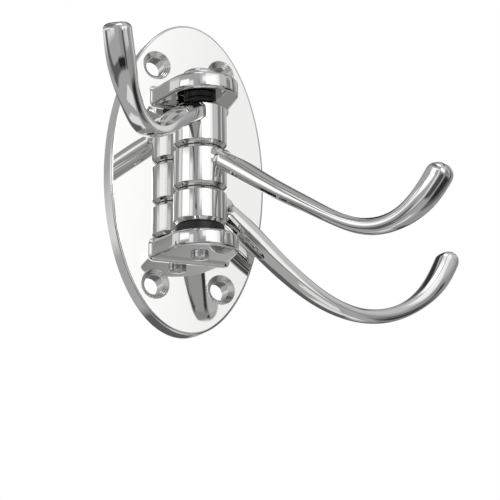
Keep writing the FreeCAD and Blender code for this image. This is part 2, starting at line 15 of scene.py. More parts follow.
import bmesh
import bpy
import numpy as np
from bpy.types import Material, Mesh, Node, NodeOutputs, NodeSocket, NodeTree, Object
from mathutils import Matrix, Vector


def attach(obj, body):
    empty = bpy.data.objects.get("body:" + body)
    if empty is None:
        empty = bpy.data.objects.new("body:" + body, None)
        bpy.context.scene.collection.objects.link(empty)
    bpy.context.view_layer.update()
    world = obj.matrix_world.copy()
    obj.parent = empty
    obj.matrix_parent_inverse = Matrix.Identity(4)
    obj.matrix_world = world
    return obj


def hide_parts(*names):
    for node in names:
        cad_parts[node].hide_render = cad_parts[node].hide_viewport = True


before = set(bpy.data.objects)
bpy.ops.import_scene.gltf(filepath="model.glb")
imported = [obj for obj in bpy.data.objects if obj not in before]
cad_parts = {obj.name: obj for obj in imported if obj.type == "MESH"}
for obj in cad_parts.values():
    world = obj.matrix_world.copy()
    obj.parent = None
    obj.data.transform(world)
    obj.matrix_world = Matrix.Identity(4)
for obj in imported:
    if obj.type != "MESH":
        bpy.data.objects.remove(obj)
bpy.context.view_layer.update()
LOG = logging.getLogger("folding_wall_hook")
MM = 0.001
# From the wall to the pin's centre line.
PIN_OUT = 15.8 * MM
# Faces round each turned piece, and the steepest crease that is still shaded smooth.
FACES_AROUND = 128
SHARP_DEGREES = 32.0
# Within this radius a point lies on the axis, and within this distance points are merged.
ON_AXIS = 1e-9
SAME_POINT = 1e-7


class Slot(Enum):
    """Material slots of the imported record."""

    PIN = "pin_chrome"
    HOOK = "hook_chrome"
    SPACER = "spacer_black"


class Socket(Enum):
    """Input types that the node tree of the arms uses."""

    GEOMETRY = "NodeSocketGeometry"
    FLOAT = "NodeSocketFloat"
    COUNT = "NodeSocketInt"
    MATERIAL = "NodeSocketMaterial"


class Shaping(Enum):
    """What one solid does to another."""

    CUT = "DIFFERENCE"
    JOIN = "UNION"


@dataclass
class NodeWriter:
    """Adds nodes to one tree and links them, so that a tree reads like a list of steps."""

    tree: NodeTree

    def add(self, kind: str, **settings: object) -> Node:
        """Adds one node and sets its properties.

        Args:
            kind: The node's type name.
            **settings: Property names and values, such as operation="MULTIPLY".

        Returns:
            The new node.
        """
        node = self.tree.nodes.new(kind)
        for name, value in settings.items():
            setattr(node, name, value)
        return node

    def feed(self, node: Node, **inputs: object) -> None:
        """Links sockets or sets values on a node's inputs.

        Args:
            node: The node that receives the inputs.
            **inputs: Input names (spaces written as _, or i0, i1 for a place) and their sockets
                or values.
        """
        for name, value in inputs.items():
            if name[0] == "i" and name[1:].isdigit():
                socket = node.inputs[int(name[1:])]
            else:
                socket = node.inputs[name.replace("_", " ")]
            if isinstance(value, NodeSocket):
                self.tree.links.new(value, socket)
            else:
                socket.default_value = value

    def maths(self, operation: str, *values: object) -> NodeSocket:
        """Adds one Math node.

        Args:
            operation: The operation, such as "ADD".
            *values: Sockets or numbers, in order.

        Returns:
            The node's output.
        """
        node = self.add("ShaderNodeMath", operation=operation)
        for index, value in enumerate(values):
            self.feed(node, **{"i%d" % index: value})
        return node.outputs[0]

    def scaled(self, vector: NodeSocket, factor: object) -> NodeSocket:
        """Scales a vector.

        Args:
            vector: The vector.
            factor: A socket or a number.

        Returns:
            The scaled vector.
        """
        node = self.add("ShaderNodeVectorMath", operation="SCALE")
        self.feed(node, i0=vector, Scale=factor)
        return node.outputs[0]

    def added(self, first: NodeSocket, second: NodeSocket) -> NodeSocket:
        """Adds two vectors.

        Args:
            first: One vector.
            second: The other.

        Returns:
            Their sum.
        """
        node = self.add("ShaderNodeVectorMath", operation="ADD")
        self.feed(node, i0=first, i1=second)
        return node.outputs[0]

    def axes(self, vector: NodeSocket) -> list[NodeSocket]:
        """Splits a vector.

        Args:
            vector: The vector.

        Returns:
            Its X, Y and Z.
        """
        split = self.add("ShaderNodeSeparateXYZ")
        self.feed(split, Vector=vector)
        return list(split.outputs)

    def spread(self, value: NodeSocket, start: float, end: float, first: float, last: float,
               smooth: bool = False) -> NodeSocket:
        """Spreads one range of values over another and holds it at both ends.

        Args:
            value: The value to spread.
            start: The value that gives the first result.
            end: The value that gives the last result.
            first: The first result.
            last: The last result.
            smooth: True for an eased change instead of a straight one.

        Returns:
            The result.
        """
        kind = "SMOOTHSTEP" if smooth else "LINEAR"
        node = self.add("ShaderNodeMapRange", interpolation_type=kind)
        self.feed(node, Value=value, From_Min=start, From_Max=end, To_Min=first, To_Max=last)
        return node.outputs[0]

    def noise(self, place: NodeSocket, size: float, detail: float,
              roughness: float = 0.5) -> NodeSocket:
        """Adds one noise pattern.

        Args:
            place: The coordinates that it reads.
            size: The size of its patches, in the unit of the coordinates.
            detail: Levels of finer noise in it.
            roughness: The strength of each finer level against the one before.

        Returns:
            The pattern, from 0 to 1.
        """
        node = self.add("ShaderNodeTexNoise")
        self.feed(node, Vector=place, Scale=1 / size, Detail=detail, Roughness=roughness)
        return node.outputs[0]

    def bump(self, height: NodeSocket, strength: float, rise: float,
             normal: NodeSocket | None = None, inward: bool = False) -> NodeSocket:
        """Tilts the surface normal by a height pattern.

        Args:
            height: The pattern.
            strength: The share of the tilt that is kept.
            rise: The height in metres that 1 in the pattern stands for.
            normal: The normal so far, or None for the plain surface.
            inward: True if high values lie deep.

        Returns:
            The new normal.
        """
        node = self.add("ShaderNodeBump", invert=inward)
        self.feed(node, Height=height, Strength=strength, Distance=rise)
        if normal is not None:
            self.feed(node, Normal=normal)
        return node.outputs[0]

    def colours(self, share: NodeSocket, low: tuple[float, float, float],
                high: tuple[float, float, float]) -> NodeSocket:
        """Mixes two colours.

        Args:
            share: The share of the second colour.
            low: The first colour.
            high: The second colour.

        Returns:
            The mixed colour.
        """
        node = self.add("ShaderNodeMix", data_type="RGBA")
        self.feed(node, i0=share, i6=low + (1.0,), i7=high + (1.0,))
        return node.outputs[2]


def new_material(name: str) -> tuple[Material, NodeWriter, Node]:
    """Starts a material.

    Args:
        name: The material's name.

    Returns:
        The material, the writer of its tree, and its shader.
    """
    material = bpy.data.materials.new(name)
    material.use_nodes = True
    shader = material.node_tree.nodes["Principled BSDF"]
    return material, NodeWriter(material.node_tree), shader


@dataclass(frozen=True)
class PolishedChrome:
    """Plated and buffed chrome with faint buffing haze and a slight cast waviness under it.

    All its lengths are in metres. Cloud is the broad drift of the tint, wave the cast waviness
    and grain the finest one. Rings are the centres of turned countersinks, and crown is the span
    of heights, up and down from the middle, over which the lugs bulge.
    """

    name: str
    tint: tuple[float, float, float] = (0.83, 0.83, 0.825)
    roughness: float = 0.012
    haze: float = 0.05
    cloud_size: float = 26.0 * MM
    cloud_shade: float = 0.965
    wave_size: float = 9.0 * MM
    wave_strength: float = 0.2
    wave_rise: float = 0.2 * MM
    grain_size: float = 2.2 * MM
    grain_strength: float = 0.0032
    grain_rise: float = 0.05 * MM
    rings: tuple[tuple[float, float], ...] = ()
    ring_radius: float = 0.0
    ring_pitch: float = 0.5 * MM
    ring_jitter: float = 0.25 * MM
    ring_strength: float = 0.0
    ring_rise: float = 0.05 * MM
    ring_haze: float = 0.12
    back_face: float = 0.2 * MM
    crown: tuple[float, ...] = ()
    crown_deep: float = 0.0
    crown_start: float = 9.5 * MM
    crown_end: float = 7.5 * MM

    def build(self) -> Material:
        """Builds the material.

        Returns:
            The finished material.
        """
        material, writer, shader = new_material(self.name)
        place = writer.add("ShaderNodeTexCoord").outputs["Object"]
        cloud = writer.noise(place, self.cloud_size, detail=3.0, roughness=0.55)
        grain = writer.noise(place, self.grain_size, detail=4.0, roughness=0.6)
        wave = writer.noise(place, self.wave_size, detail=1.0)
        darker = tuple(channel * self.cloud_shade for channel in self.tint)
        patch = writer.maths("MULTIPLY", cloud, grain)
        rough = writer.maths("MULTIPLY_ADD", patch, self.haze, self.roughness)
        normal = writer.bump(wave, self.wave_strength, self.wave_rise)
        normal = writer.bump(grain, self.grain_strength, self.grain_rise, normal)
        if self.crown:
            normal = self.crowned(writer, place, normal)
        if self.rings:
            normal, rough = self.turned_rings(writer, place, normal, rough)
        writer.feed(shader, Metallic=1.0, Base_Color=writer.colours(cloud, darker, self.tint),
                    Roughness=rough, Normal=normal)
        return material

    def crowned(self, writer: NodeWriter, place: NodeSocket, normal: NodeSocket) -> NodeSocket:
        """Lets the lugs' cast edges bulge a little through their thickness.

        Args:
            writer: The writer of this material's tree.
            place: Object coordinates.
            normal: The surface normal so far.

        Returns:
            The new normal.
        """
        outward, up = writer.axes(place)[1:]
        low, high = self.crown
        half = (high - low) / 2
        level = writer.maths("SUBTRACT", writer.maths("ABSOLUTE", up), (low + high) / 2)
        share = writer.spread(level, -half, half, -1.0, 1.0)
        bulge = writer.maths("MULTIPLY", share, share)
        clear = writer.spread(outward, -self.crown_start, -self.crown_end, 1.0, 0.0, smooth=True)
        height = writer.maths("MULTIPLY", bulge, clear)
        return writer.bump(height, 1.0, self.crown_deep, normal, inward=True)

    def turned_rings(self, writer: NodeWriter, place: NodeSocket, normal: NodeSocket,
                     rough: NodeSocket) -> tuple[NodeSocket, NodeSocket]:
        """Adds the cutter's fine rings round each fixing hole, where the countersink was turned.

        Args:
            writer: The writer of this material's tree.
            place: Object coordinates.
            normal: The surface normal so far.
            rough: The roughness so far.

        Returns:
            The new normal and the new roughness.
        """
        across, outward, up = writer.axes(place)
        nearest: NodeSocket | float = 1.0
        for centre_across, centre_up in self.rings:
            legs = (writer.maths("SUBTRACT", across, centre_across),
                    writer.maths("SUBTRACT", up, centre_up))
            squares = [writer.maths("MULTIPLY", leg, leg) for leg in legs]
            distance = writer.maths("SQRT", writer.maths("ADD", *squares))
            nearest = writer.maths("MINIMUM", nearest, distance)
        inside = writer.maths("LESS_THAN", nearest, self.ring_radius)
        front = writer.maths("LESS_THAN", outward, -self.back_face)
        mask = writer.maths("MULTIPLY", inside, front)
        turns = writer.maths("MULTIPLY", nearest, 2 * math.pi / self.ring_pitch)
        spoke = writer.add("ShaderNodeCombineXYZ")
        writer.feed(spoke, X=writer.maths("MULTIPLY", nearest, 1 / self.ring_jitter))
        jitter = writer.noise(spoke.outputs[0], 1.0, detail=3.0)
        uneven = writer.maths("ADD", writer.maths("SINE", turns), jitter)
        height = writer.maths("MULTIPLY", uneven, mask)
        turned = writer.bump(height, self.ring_strength, self.ring_rise, normal)
        return turned, writer.maths("MULTIPLY_ADD", mask, self.ring_haze, rough)


@dataclass(frozen=True)
class BlackNylon:
    """Moulded black plastic with a soft sheen and a fine grain, its lengths in metres."""

    name: str
    colour: tuple[float, float, float] = (0.012, 0.012, 0.012)
    shade: float = 0.6
    roughness: float = 0.3
    haze: float = 0.2
    grain_size: float = 0.6 * MM
    grain_strength: float = 0.08
    grain_rise: float = 0.03 * MM

    def build(self) -> Material:
        """Builds the material.

        Returns:
            The finished material.
        """
        material, writer, shader = new_material(self.name)
        place = writer.add("ShaderNodeTexCoord").outputs["Object"]
        grain = writer.noise(place, self.grain_size, detail=4.0)
        darker = tuple(channel * self.shade for channel in self.colour)
        writer.feed(shader, Base_Color=writer.colours(grain, darker, self.colour),
                    Roughness=writer.maths("MULTIPLY_ADD", grain, self.haze, self.roughness),
                    Normal=writer.bump(grain, self.grain_strength, self.grain_rise))
        return material


@dataclass(frozen=True)
class PalePaint:
    """Matt pale paint with a faint mottle, its lengths in metres."""

    name: str
    darker: tuple[float, float, float] = (0.80, 0.80, 0.80)
    lighter: tuple[float, float, float] = (0.86, 0.86, 0.86)
    roughness: float = 0.7
    mottle_size: float = 1 / 3

    def build(self) -> Material:
        """Builds the material.

        Returns:
            The finished material.
        """
        material, writer, shader = new_material(self.name)
        place = writer.add("ShaderNodeTexCoord").outputs["Object"]
        mottle = writer.noise(place, self.mottle_size, detail=2.0)
        writer.feed(shader, Base_Color=writer.colours(mottle, self.darker, self.lighter),
                    Roughness=self.roughness)
        return material


def spline(knots: np.ndarray, values: np.ndarray, at: np.ndarray) -> np.ndarray:
    """Runs a natural cubic spline through values.

    Args:
        knots: Rising places of the values.
        values: One row of values for each knot.
        at: Places to read.

    Returns:
        The values read there.
    """
    count = len(knots)
    gaps = np.diff(knots)
    system = np.zeros((count, count))
    system[0, 0] = system[-1, -1] = 1.0
    right = np.zeros_like(values)
    slopes = np.diff(values, axis=0) / gaps[:, None]
    for row in range(1, count - 1):
        system[row, row - 1] = gaps[row - 1]
        system[row, row] = 2 * (gaps[row - 1] + gaps[row])
        system[row, row + 1] = gaps[row]
        right[row] = 6 * (slopes[row] - slopes[row - 1])
    bends = np.linalg.solve(system, right)
    index = np.clip(np.searchsorted(knots, at) - 1, 0, count - 2)
    gap = gaps[index][:, None]
    ahead = (knots[index + 1] - at)[:, None]
    behind = (at - knots[index])[:, None]
    low, high = bends[index], bends[index + 1]
    return ((low * ahead ** 3 + high * behind ** 3) / (6 * gap)
            + (values[index] / gap - low * gap / 6) * ahead
            + (values[index + 1] / gap - high * gap / 6) * behind)


def rounded_off(back: np.ndarray, radius: float) -> np.ndarray:
    """Works out how far a rounded corner pulls a face in.

    Args:
        back: How far each place lies back from the corner's end.
        radius: The corner's radius.

    Returns:
        The pull at each place, 0 where it lies further back than the radius.
    """
    inset = np.clip(radius - back, 0, None)
    return radius - np.sqrt(np.clip(radius ** 2 - inset ** 2, 0, None))


def rounded_profile(corners: Sequence[tuple[float, float, float]],
                    steps: int) -> list[tuple[float, float]]:
    """Rounds the corners of a profile.

    Args:
        corners: Radius, height and rounding of each corner, in order and in millimetres; a
            rounding of 0 stays sharp.
        steps: Pieces in each rounding.

    Returns:
        Radius and height of each point of the rounded profile, in metres.
    """
    points: list[tuple[float, float]] = []
    for index, (radius, height, rounding) in enumerate(corners):
        if rounding <= 0:
            points.append((radius * MM, height * MM))
            continue
        here = Vector((radius, height))
        before = (Vector(corners[index - 1][:2]) - here).normalized()
        after = (Vector(corners[(index + 1) % len(corners)][:2]) - here).normalized()
        half = before.angle(after) / 2
        reach = rounding / math.tan(half)
        start, end = here + before * reach, here + after * reach
        centre = here + (before + after).normalized() * (rounding / math.sin(half))
        for step in range(steps + 1):
            spoke = (start - centre).lerp(end - centre, step / steps).normalized() * rounding
            point = centre + spoke
            points.append((point.x * MM, point.y * MM))
    return points


def turn_mesh(name: str, profile: Sequence[tuple[float, float]], closed: bool) -> Mesh:
    """Turns a profile about the pin's centre line.

    Args:
        name: The mesh's name.
        profile: Radius and height of each point, in metres; an open profile starts and ends on
            the axis.
        closed: True for a ring, whose profile closes on itself.

    Returns:
        The turned mesh, with its faces pointing outwards.
    """
    mesh = bpy.data.meshes.new(name)
    work = bmesh.new()
    angles = [2 * math.pi * step / FACES_AROUND for step in range(FACES_AROUND)]
    rings = []
    for radius, height in profile:
        used = angles if radius > ON_AXIS else angles[:1]
        rings.append([work.verts.new((radius * math.cos(angle), radius * math.sin(angle) - PIN_OUT,
                                      height)) for angle in used])
    pairs = list(zip(rings, rings[1:])) + ([(rings[-1], rings[0])] if closed else [])
    for low, high in pairs:
        for step in range(FACES_AROUND):
            after = (step + 1) % FACES_AROUND
            corners = [low[step % len(low)], low[after % len(low)],
                       high[after % len(high)], high[step % len(high)]]
            unique = list(dict.fromkeys(corners))
            if len(unique) > 2:
                work.faces.new(unique)
    bmesh.ops.recalc_face_normals(work, faces=work.faces)
    work.to_mesh(mesh)
    work.free()
    return mesh


def fix_normals(mesh: Mesh) -> None:
    """Merges doubles and turns every face outwards.

    Args:
        mesh: The mesh to mend.
    """
    work = bmesh.new()
    work.from_mesh(mesh)
    bmesh.ops.remove_doubles(work, verts=work.verts, dist=SAME_POINT)
    bmesh.ops.recalc_face_normals(work, faces=work.faces)
    work.to_mesh(mesh)
    work.free()


def finish_mesh(piece: Object, material: Material) -> None:
    """Gives a mesh its material and smooth faces with sharp creases, and reports it.

    Args:
        piece: The object to finish.
        material: Its material.
    """
    mesh = piece.data
    mesh.materials.clear()
    mesh.materials.append(material)
    mesh.polygons.foreach_set("material_index", np.zeros(len(mesh.polygons), np.int32))
    mesh.shade_smooth()
    mesh.set_sharp_from_angle(angle=math.radians(SHARP_DEGREES))
    LOG.info("%s: %d faces", piece.name, len(mesh.polygons))


def new_object(name: str, data: bpy.types.ID) -> Object:
    """Puts a mesh, camera or lamp in the scene as an object at the origin.

    Args:
        name: The object's name.
        data: What the object holds.

    Returns:
        The object.
    """
    item = bpy.data.objects.new(name, data)
    bpy.context.scene.collection.objects.link(item)
    return item


def shape(piece: Object, tool: Object, shaping: Shaping) -> None:
    """Cuts one solid out of another, or joins it on, with a modifier.

    Args:
        piece: The solid that changes.
        tool: The solid that does it.
        shaping: Whether it cuts or joins.
    """
    modifier = piece.modifiers.new(shaping.name.lower(), "BOOLEAN")
    modifier.operation = shaping.value
    modifier.solver = "EXACT"
    modifier.object = tool


def baked(piece: Object, name: str) -> Mesh:
    """Turns an object and its modifiers into a plain mesh.

    Args:
        piece: The object to evaluate.
        name: The new mesh's name.

    Returns:
        The plain mesh.
    """
    bpy.context.view_layer.update()
    graph = bpy.context.evaluated_depsgraph_get()
    mesh = bpy.data.meshes.new_from_object(piece.evaluated_get(graph),
                                           preserve_all_data_layers=True, depsgraph=graph)
    mesh.name = name
    return mesh


@dataclass
class SweptRod:
    """The node tree that sweeps a rounded, slightly bowed section along an arm's centre line.

    Each point of the line carries its thickness and width, the direction across the rod's
    thickness (rise) and the direction across its width (side). All lengths are in metres.
    """

    ring_points: int = 72
    ring_radius: float = 1.0 * MM
    corner: float = 1.3 * MM
    corner_share: float = 0.9
    bow: float = 9.0 * MM
    first_turn: float = math.radians(20)
    last_turn: float = math.radians(70)
    tree: NodeTree = field(init=False)

    def __post_init__(self) -> None:
        """Builds the tree as soon as its sizes are known."""
        self.tree = self.build()

    def named(self, writer: NodeWriter, name: str, kind: str) -> NodeSocket:
        """Reads a named attribute of the centre line.

        Args:
            writer: The writer of the tree.
            name: The attribute's name.
            kind: Its data type.

        Returns:
            The attribute.
        """
        node = writer.add("GeometryNodeInputNamedAttribute", data_type=kind)
        writer.feed(node, Name=name)
        return node.outputs["Attribute"]

    def build(self) -> NodeTree:
        """Builds the node tree.

        Returns:
            The tree, ending in Realize Instances and Set Material.
        """
        tree = bpy.data.node_groups.new("swept_rod", "GeometryNodeTree")
        sockets = (("Line", Socket.GEOMETRY), ("Ring Points", Socket.COUNT),
                   ("Corner Radius", Socket.FLOAT), ("Face Bow", Socket.FLOAT),
                   ("Finish", Socket.MATERIAL))
        for name, kind in sockets:
            tree.interface.new_socket(name, in_out="INPUT", socket_type=kind.value)
        tree.interface.new_socket("Rod", in_out="OUTPUT", socket_type=Socket.GEOMETRY.value)
        writer = NodeWriter(tree)
        given = writer.add("NodeGroupInput").outputs
        line = writer.add("GeometryNodeMeshToCurve")
        writer.feed(line, Mesh=given["Line"])
        at_line = writer.add("GeometryNodeCaptureAttribute", domain="POINT")
        at_line.capture_items.new("VECTOR", "Centre")
        place = writer.add("GeometryNodeInputPosition").outputs[0]
        writer.feed(at_line, Geometry=line.outputs[0], Centre=place)
        ring = writer.add("GeometryNodeCurvePrimitiveCircle", mode="RADIUS")
        writer.feed(ring, Resolution=given["Ring Points"], Radius=self.ring_radius)
        at_ring = writer.add("GeometryNodeCaptureAttribute", domain="POINT")
        at_ring.capture_items.new("VECTOR", "Spoke")
        spoke = writer.scaled(place, 1 / self.ring_radius)
        writer.feed(at_ring, Geometry=ring.outputs[0], Spoke=spoke)
        swept = writer.add("GeometryNodeCurveToMesh")
        writer.feed(swept, Curve=at_line.outputs[0], Profile_Curve=at_ring.outputs[0],
                    Fill_Caps=True)
        across, through = self.section(writer, at_ring.outputs["Spoke"], given)
        side = writer.scaled(self.named(writer, "side", "FLOAT_VECTOR"), across)
        rise = writer.scaled(self.named(writer, "rise", "FLOAT_VECTOR"), through)
        place_now = writer.added(at_line.outputs["Centre"], writer.added(side, rise))
        moved = writer.add("GeometryNodeSetPosition")
        writer.feed(moved, Geometry=swept.outputs[0], Position=place_now)
        real = writer.add("GeometryNodeRealizeInstances")
        writer.feed(real, Geometry=moved.outputs[0])
        coated = writer.add("GeometryNodeSetMaterial")
        writer.feed(coated, Geometry=real.outputs[0], Material=given["Finish"])
        writer.feed(writer.add("NodeGroupOutput"), Rod=coated.outputs[0])
        return tree

    def section(self, writer: NodeWriter, spoke: NodeSocket,
                given: NodeOutputs) -> tuple[NodeSocket, NodeSocket]:
        """Works out where each ring point lies on the rounded section.

        Args:
            writer: The writer of the tree.
            spoke: The unit direction of each ring point.
            given: The tree's inputs.

        Returns:
            The distances across the width and through the thickness.
        """
        flat = writer.axes(spoke)[:2]
        sizes = [writer.maths("ABSOLUTE", part) for part in flat]
        signs = [writer.maths("SIGN", part) for part in flat]
        angle = writer.maths("ARCTAN2", sizes[1], sizes[0])
        turn = writer.spread(angle, self.first_turn, self.last_turn, 0.0, math.pi / 2)
        facing = [writer.maths("COSINE", turn), writer.maths("SINE", turn)]
        halves = [writer.maths("MULTIPLY", self.named(writer, name, "FLOAT"), 0.5)
                  for name in ("wide", "thick")]
        most = writer.maths("MULTIPLY", writer.maths("MINIMUM", *halves), self.corner_share)
        corner = writer.maths("MINIMUM", given["Corner Radius"], most)
        limit = math.cos(self.last_turn)
        spans = []
        for size, half, face in zip(sizes, halves, facing):
            core = writer.maths("MINIMUM", writer.maths("DIVIDE", size, limit), 1.0)
            flat_part = writer.maths("MULTIPLY", writer.maths("SUBTRACT", half, corner), core)
            spans.append(writer.maths("MULTIPLY_ADD", face, corner, flat_part))
        results = []
        for sign, span, other, face in zip(signs, spans, reversed(spans), facing):
            droop = writer.maths("DIVIDE", writer.maths("MULTIPLY", other, other),
                                 writer.maths("MULTIPLY", given["Face Bow"], 2.0))
            drop = writer.maths("MULTIPLY", droop, face)
            results.append(writer.maths("MULTIPLY", sign, writer.maths("SUBTRACT", span, drop)))
        return results[0], results[1]

    def sweep(self, line: Object, name: str, material: Material) -> Mesh:
        """Runs the tree on one centre line.

        Args:
            line: The object whose mesh is the centre line.
            name: The name of the resulting mesh.
            material: The rod's material.

        Returns:
            The swept rod as a plain mesh.
        """
        modifier = line.modifiers.new("swept_rod", "NODES")
        modifier.node_group = self.tree
        values = {"Ring Points": self.ring_points, "Corner Radius": self.corner,
                  "Face Bow": self.bow, "Finish": material}
        for item in self.tree.interface.items_tree:
            if item.in_out == "INPUT" and item.name in values:
                modifier[item.identifier] = values[item.name]
        mesh = baked(line, name)
        line.modifiers.remove(modifier)
        return mesh


@dataclass
class HookArm:
    """One hook arm: a bevelled barrel on the pin and a cast rod that drops, levels and turns up.

    The rod's centre line runs from inside the barrel to the tip in equal steps, each at the mean
    of the tilts, in degrees, that the line has at its two ends. Thick and wide are its girths at
    the starts of those steps, and the tip adds the last. Floor and ceiling are the heights of the
    barrel's ends, and swing is the arm's turn at rest, in degrees to the right of straight out.
    """

    name: str
    body: str
    floor: float
    ceiling: float
    swing: float
    length: float
    root_high: float
    tilt: tuple[float, ...]
    thick: tuple[float, ...] = (5.2, 6.2, 5.8, 5.3, 4.7, 4.4, 4.8, 5.4, 6.9)
    wide: tuple[float, ...] = (7.3, 7.7, 8.0, 8.0, 7.6, 6.6, 5.8, 6.1, 7.7)
    barrel_radius: float = 8.55
    barrel_bore: float = 2.55
    barrel_bevel: float = 1.2
    bore_spare: float = 1.0
    edge_round: float = 0.35
    edge_steps: int = 5
    root_reach: float = 6.0
    root_blend: float = 1.0
    root_edge: float = 0.12
    rod_steps: int = 120
    tip_half_thick: float = 3.65
    tip_half_wide: float = 3.8
    tip_end_round: float = 3.65
    tip_side_round: float = 2.4
    tip_last_turn: float = 0.06
    tip_steps: int = 40

    def sections(self) -> dict[str, np.ndarray]:
        """Works out the rod's sections from root to tip, in millimetres and radians.

        Returns:
            Reach, height, tilt, thick and wide of every section.
        """
        tilt = np.radians(self.tilt)
        knots = np.linspace(0.0, self.length, len(tilt))
        means = (tilt[1:] + tilt[:-1]) / 2
        moves = knots[1] * np.column_stack([np.cos(means), np.sin(means)])
        start = (self.root_reach, self.root_high)
        line = np.vstack([[0.0, 0.0], np.cumsum(moves, axis=0)]) + start
        turns = np.linspace(math.pi / 2, self.tip_last_turn, self.tip_steps)
        tip = self.length - self.tip_end_round * (1 - np.cos(turns))
        stops = np.concatenate([np.linspace(0, tip[0], self.rod_steps)[:-1], tip])
        placed = spline(knots, np.column_stack([line, tilt]), stops)
        last_girth = self.length - self.tip_half_thick
        girths = np.column_stack([self.thick + (2 * self.tip_half_thick,),
                                  self.wide + (2 * self.tip_half_wide,)])
        sizes = spline(np.append(knots[:-1], last_girth), girths, np.minimum(stops, last_girth))
        back = self.length - stops
        clear = np.maximum(placed[:, 0] - self.barrel_radius, self.root_edge * self.root_blend)
        flare = rounded_off(clear, self.root_blend)
        thick = sizes[:, 0] - 2 * rounded_off(back, self.tip_end_round)
        wide = sizes[:, 1] - 2 * rounded_off(back, self.tip_side_round)
        return {"reach": placed[:, 0], "height": placed[:, 1], "tilt": placed[:, 2],
                "thick": thick + 2 * flare, "wide": wide + 2 * flare}

    def centre_line(self) -> Object:
        """Makes the centre line as a chain of edges that carries the section sizes.

        Returns:
            The object that holds the chain.
        """
        parts = self.sections()
        angle = math.radians(self.swing)
        out = np.array([math.sin(angle), -math.cos(angle), 0.0])
        side = np.array([math.cos(angle), math.sin(angle), 0.0])
        up = np.array([0.0, 0.0, 1.0])
        middle = (self.floor + self.ceiling) / 2
        points = parts["reach"][:, None] * out + (parts["height"][:, None] + middle) * up
        points = points * MM - np.array([0.0, PIN_OUT, 0.0])
        rise = np.cos(parts["tilt"])[:, None] * up - np.sin(parts["tilt"])[:, None] * out
        mesh = bpy.data.meshes.new(self.name + "_line")
        count = len(points)
        edges = [(index, index + 1) for index in range(count - 1)]
        mesh.from_pydata(points.tolist(), edges, [])
        for name in ("thick", "wide"):
            layer = mesh.attributes.new(name, "FLOAT", "POINT")
            layer.data.foreach_set("value", (parts[name] * MM).astype(np.float32))
        for name, vectors in (("rise", rise), ("side", np.tile(side, (count, 1)))):
            layer = mesh.attributes.new(name, "FLOAT_VECTOR", "POINT")
            layer.data.foreach_set("vector", vectors.astype(np.float32).ravel())
        return new_object(self.name + "_line", mesh)

    def barrel(self) -> Mesh:
        """Turns the barrel with its bevelled ends and its bore.

        Returns:
            The barrel's mesh.
        """
        end_radius = self.barrel_radius - self.barrel_bevel
        corners = ((self.barrel_bore, self.floor, 0.0),
                   (end_radius, self.floor, self.edge_round),
                   (self.barrel_radius, self.floor + self.barrel_bevel, self.edge_round),
                   (self.barrel_radius, self.ceiling - self.barrel_bevel, self.edge_round),
                   (end_radius, self.ceiling, self.edge_round),
                   (self.barrel_bore, self.ceiling, 0.0))
        profile = rounded_profile(corners, self.edge_steps)
        return turn_mesh(self.name + "_barrel", profile, closed=True)

    def bore(self) -> Mesh:
        """Turns the round bar that keeps the bore clear of the rod.

        Returns:
            The bar's mesh, a little longer than the barrel.
        """
        low, high = self.floor - self.bore_spare, self.ceiling + self.bore_spare
        corners = ((0.0, low, 0.0), (self.barrel_bore, low, 0.0),
                   (self.barrel_bore, high, 0.0), (0.0, high, 0.0))
        profile = rounded_profile(corners, self.edge_steps)
        return turn_mesh(self.name + "_bore", profile, closed=False)

    def build(self, sweeper: SweptRod, material: Material) -> None:
        """Builds the arm and lets it stand for its CAD node.

        Args:
            sweeper: The node tree that sweeps the rod.
            material: The arm's finish.
        """
        line = self.centre_line()
        rod = new_object(self.name + "_rod", sweeper.sweep(line, self.name + "_rod", material))
        bpy.data.objects.remove(line)
        fix_normals(rod.data)
        barrel = new_object(self.name + "_cast", self.barrel())
        barrel.data.materials.append(material)
        bore = new_object(self.name + "_bore", self.bore())
        shape(rod, bore, Shaping.CUT)
        shape(barrel, rod, Shaping.JOIN)
        piece = new_object(self.name + "_arm", baked(barrel, self.name + "_arm"))
        for scrap in (rod, barrel, bore):
            bpy.data.objects.remove(scrap)
        finish_mesh(piece, material)
        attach(piece, self.body)
        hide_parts(self.name)


@dataclass
class PivotPin:
    """The pin: button head with a rounded rim, shank, and a spread rivet end with a dimple."""

    lug_outer: float = 28.2
    seat: float = 0.05
    shank: float = 2.5
    head: float = 5.8
    head_high: float = 4.2
    head_round: float = 1.3
    head_foot_round: float = 0.15
    head_dome: float = 0.08
    head_dome_wide: float = 2.2
    rivet: float = 2.9
    rivet_high: float = 1.5
    rivet_round: float = 0.55
    rivet_dome: float = 0.12
    dimple: float = 1.1
    dimple_deep: float = 0.45
    dimple_lip: float = 0.12
    dimple_middle: float = 0.45
    dimple_middle_up: float = 0.85
    round_steps: int = 8

    def build(self, material: Material) -> None:
        """Turns the pin and lets it stand for its CAD node.

        Args:
            material: The pin's finish.
        """
        foot = self.lug_outer + self.seat
        top = self.lug_outer + self.head_high
        low = -self.lug_outer - self.rivet_high
        middle = (self.dimple * self.dimple_middle, low + self.dimple_deep * self.dimple_middle_up)
        corners = ((0.0, low + self.dimple_deep, 0.0),
                   middle + (0.0,),
                   (self.dimple, low, self.dimple_lip),
                   (self.rivet, low + self.rivet_dome, self.rivet_round),
                   (self.rivet, -foot, 0.0),
                   (self.shank, -foot, 0.0),
                   (self.shank, foot, 0.0),
                   (self.head, foot, self.head_foot_round),
                   (self.head, top - self.head_dome, self.head_round),
                   (self.head - self.head_dome_wide, top, 0.0),
                   (0.0, top, 0.0))
        profile = rounded_profile(corners, self.round_steps)
        mesh = turn_mesh("pin_with_button_head", profile, closed=False)
        piece = new_object("pin_with_button_head", mesh)
        finish_mesh(piece, material)
        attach(piece, "base")
        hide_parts("pivot_pin")


